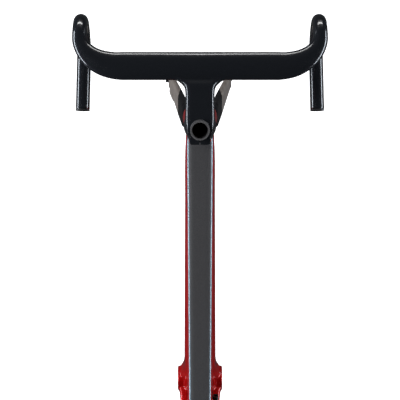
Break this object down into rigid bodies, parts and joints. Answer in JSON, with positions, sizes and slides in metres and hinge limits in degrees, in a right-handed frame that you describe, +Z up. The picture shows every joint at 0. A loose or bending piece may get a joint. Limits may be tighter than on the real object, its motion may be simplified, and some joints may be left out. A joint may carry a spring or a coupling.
{
  "type": "road racing frameset with integrated bar",
  "caption": "Carbon road racing frame with a disc-brake fork, headset, one-piece drop bar and stem, seatpost and thru axles, without wheels or drivetrain.",
  "frame": {"origin": "middle of the bottom-bracket shell's bore", "axes": "+X to the rider's right (drive side), +Y to the front, +Z up"},
  "size_m": [0.422, 1.0193, 0.7554],
  "materials": {
    "frame_paint": "gloss red lacquer, satin dark grey panel with two light pinstripes on the top tube",
    "fork_paint": "gloss black with a taupe grey panel on each leg",
    "bar_carbon": "gloss black lacquered carbon",
    "bare_carbon": "satin bare carbon",
    "black_alloy": "satin black anodised",
    "steel": "dark plated steel",
    "rubber": "matt",
    "matte_cover": "fine matt"
  },
  "bodies": {
    "frame": {"head_tube": "frame_paint", "top_tube": "frame_paint", "down_tube": "frame_paint", "seat_tube": "frame_paint", "bottom_bracket_shell": "frame_paint", "chainstay_left": "frame_paint", "chainstay_right": "frame_paint", "seatstay_left": "frame_paint", "seatstay_right": "frame_paint", "rear_dropout_left": "black_alloy", "rear_dropout_right": "black_alloy", "derailleur_hanger": "black_alloy", "hanger_screw": "steel", "front_derailleur_mount": "black_alloy", "front_derailleur_rivets": "black_alloy", "down_tube_bottle_nuts": "black_alloy", "seat_tube_bottle_nuts": "black_alloy", "down_tube_port_grommets": "rubber", "cable_cover": "matte_cover", "cable_cover_screw": "steel", "seat_clamp_wedge": "black_alloy", "seat_clamp_bolt": "steel", "seat_clamp_cover": "rubber", "upper_bearing_outer_ring": "steel", "upper_bearing_balls": "steel", "lower_bearing_outer_ring": "steel", "lower_bearing_balls": "steel"},
    "fork": {"steerer_tube": "bare_carbon", "fork_crown": "fork_paint", "fork_leg_left": "fork_paint", "fork_leg_right": "fork_paint", "fork_dropout_left": "black_alloy", "fork_dropout_right": "black_alloy", "crown_race": "steel", "lower_bearing_inner_ring": "steel", "upper_bearing_inner_ring": "steel", "compression_ring": "black_alloy", "headset_top_cover": "black_alloy", "headset_spacers": "black_alloy"},
    "cockpit": {"handlebar": "bar_carbon", "stem_clamp_bolts": "steel", "stem_clamp_nuts": "steel", "bar_end_plugs": "matte_cover"},
    "seatpost": {"seatpost": "bar_carbon"},
    "saddle_clamp": {"saddle_clamp_inner_jaws": "black_alloy", "saddle_clamp_outer_jaws": "black_alloy", "saddle_clamp_bolt": "steel", "saddle_clamp_nut": "steel"},
    "front_axle": {"front_thru_axle": "black_alloy"},
    "rear_axle": {"rear_thru_axle": "black_alloy"}
  },
  "joints": [
    {"name": "steering", "type": "hinge", "parent": "frame", "child": "fork", "pos_m": [0, 0.43186, 0.40855], "axis": [0, -0.2924, 0.9563], "range_deg": [-60, 60]},
    {"name": "stem_height", "type": "slide", "parent": "fork", "child": "cockpit", "axis": [0, -0.2924, 0.9563], "range_m": [0, 0.02]},
    {"name": "seatpost_height", "type": "slide", "parent": "frame", "child": "seatpost", "axis": [0, -0.284, 0.9588], "range_m": [-0.06, 0.03]},
    {"name": "saddle_tilt", "type": "hinge", "parent": "seatpost", "child": "saddle_clamp", "pos_m": [0, -0.20761, 0.7009], "axis": [1, 0, 0], "range_deg": [-15, 15]},
    {"name": "front_axle_pull", "type": "slide", "parent": "fork", "child": "front_axle", "axis": [-1, 0, 0], "range_m": [0, 0.125]},
    {"name": "rear_axle_pull", "type": "slide", "parent": "frame", "child": "rear_axle", "axis": [-1, 0, 0], "range_m": [0, 0.17]}
  ]
}
